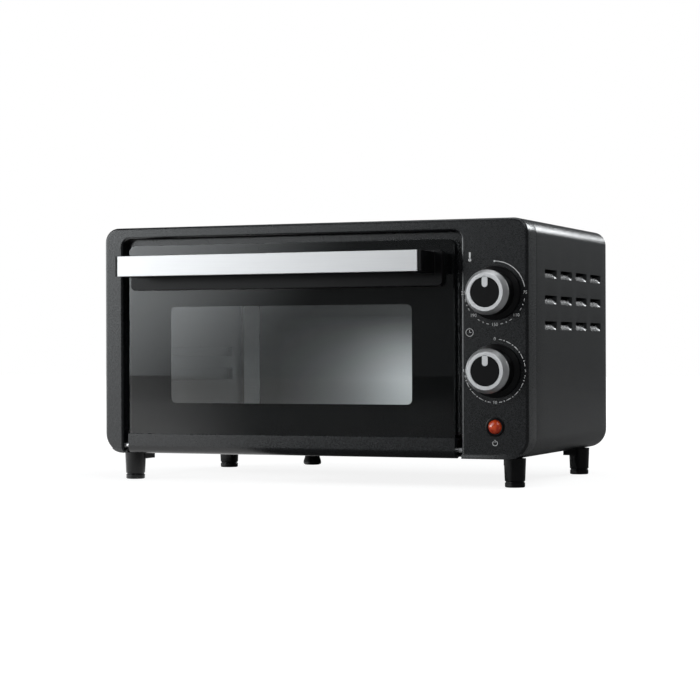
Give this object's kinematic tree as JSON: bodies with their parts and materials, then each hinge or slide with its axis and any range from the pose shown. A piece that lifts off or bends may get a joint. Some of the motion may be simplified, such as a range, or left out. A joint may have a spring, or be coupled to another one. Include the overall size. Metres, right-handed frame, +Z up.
{
  "type": "toaster oven",
  "caption": "Compact counter-top toaster oven with a drop-down glass door, full-width bar handle, two rotary dials, pilot lamp and side louvres.",
  "frame": {"origin": "on the table, under the middle of the overall box (feet, body, handle and cord gland)", "axes": "+Z up, the door faces -Y, +X towards the control panel's side"},
  "size_m": [0.36, 0.2656, 0.2045],
  "materials": {
    "frame_paint": "fine-grained charcoal paint",
    "cover_paint": "satin black paint",
    "plated_steel": "zinc-plated sheet",
    "cavity_steel": "galvanised sheet, dull and mottled",
    "bright_sheet": "plain mill finish",
    "spring_steel": "plain steel",
    "door_glass": "tempered glass with a black printed border",
    "black_rubber": "matte",
    "black_plastic": "satin moulded plastic",
    "brushed_metal": "brushed along the handle",
    "zinc_screw": "zinc-plated",
    "bright_pin": "bright turned steel",
    "silver_ring": "satin silver",
    "switch_body": "moulded phenolic and plated steel",
    "bell_brass": "plain",
    "lamp_red": "clear red",
    "neon_bulb": "clear",
    "heater_steel": "dull sheath",
    "ceramic": "unglazed white ceramic",
    "chrome_wire": "plated wire",
    "wire_sleeve": "woven glass sleeve",
    "foot_plastic": "matte black"
  },
  "bodies": {
    "body": {"front_frame": "frame_paint", "outer_cover": "cover_paint", "base_plate": "plated_steel", "rear_panel": "cover_paint", "cavity_front": "frame_paint", "liner_left": "cavity_steel", "liner_right": "cavity_steel", "liner_top": "cavity_steel", "liner_back": "cavity_steel", "heat_shield": "bright_sheet", "hinge_brackets": "plated_steel", "door_springs": "spring_steel", "thermostat_body": "switch_body", "timer_body": "switch_body", "timer_bell": "bell_brass", "control_screws": "zinc_screw", "lamp_bezel": "black_plastic", "lamp_lens": "lamp_red", "lamp_bulb": "neon_bulb", "upper_heaters": "heater_steel", "lower_heaters": "heater_steel", "heater_insulators": "ceramic", "tray_hinge_pins": "bright_pin", "terminal_block": "ceramic", "cord_gland": "black_plastic", "internal_wiring": "wire_sleeve", "foot_front_left": "foot_plastic", "foot_front_right": "foot_plastic", "foot_rear_left": "foot_plastic", "foot_rear_right": "foot_plastic", "foot_screws": "zinc_screw", "rear_screws": "zinc_screw"},
    "door": {"door_glass": "door_glass", "door_rail": "frame_paint", "glass_cushion": "black_rubber", "handle_body": "black_plastic", "handle_strip": "brushed_metal", "handle_screws": "zinc_screw", "handle_washers": "black_rubber", "hinge_pins": "bright_pin", "rack_hooks": "spring_steel"},
    "temp_dial": {"temp_knob": "black_plastic", "temp_knob_ring": "silver_ring", "thermostat_shaft": "bright_pin"},
    "timer_dial": {"timer_knob": "black_plastic", "timer_knob_ring": "silver_ring", "timer_shaft": "bright_pin"},
    "rack": {"wire_rack": "chrome_wire"},
    "tray": {"crumb_tray": "plated_steel", "crumb_tray_knob": "black_plastic"}
  },
  "joints": [
    {"name": "door_hinge", "type": "hinge", "parent": "body", "child": "door", "pos_m": [-0.012, -0.08745, 0.0283], "axis": [1, 0, 0], "range_deg": [0, 80], "stiffness_Nm_per_rad": 0.15, "springref_deg": -51.57},
    {"name": "temp_turn", "type": "hinge", "parent": "body", "child": "temp_dial", "pos_m": [0.1537, -0.09275, 0.1478], "axis": [0, 1, 0], "range_deg": [0, 270]},
    {"name": "timer_turn", "type": "hinge", "parent": "body", "child": "timer_dial", "pos_m": [0.1537, -0.09275, 0.0889], "axis": [0, 1, 0], "range_deg": [0, 270], "stiffness_Nm_per_rad": 0.003, "springref_deg": -28.65},
    {"name": "rack_slide", "type": "slide", "parent": "body", "child": "rack", "axis": [0, -1, 0], "range_m": [0, 0.04]},
    {"name": "tray_hinge", "type": "hinge", "parent": "body", "child": "tray", "pos_m": [-0.0185, 0.09175, 0.0252], "axis": [1, 0, 0], "range_deg": [0, 85]}
  ],
  "couplings": [
    {"joint": "rack_slide", "follows": "door_hinge", "m_per_rad": 0.028}
  ]
}
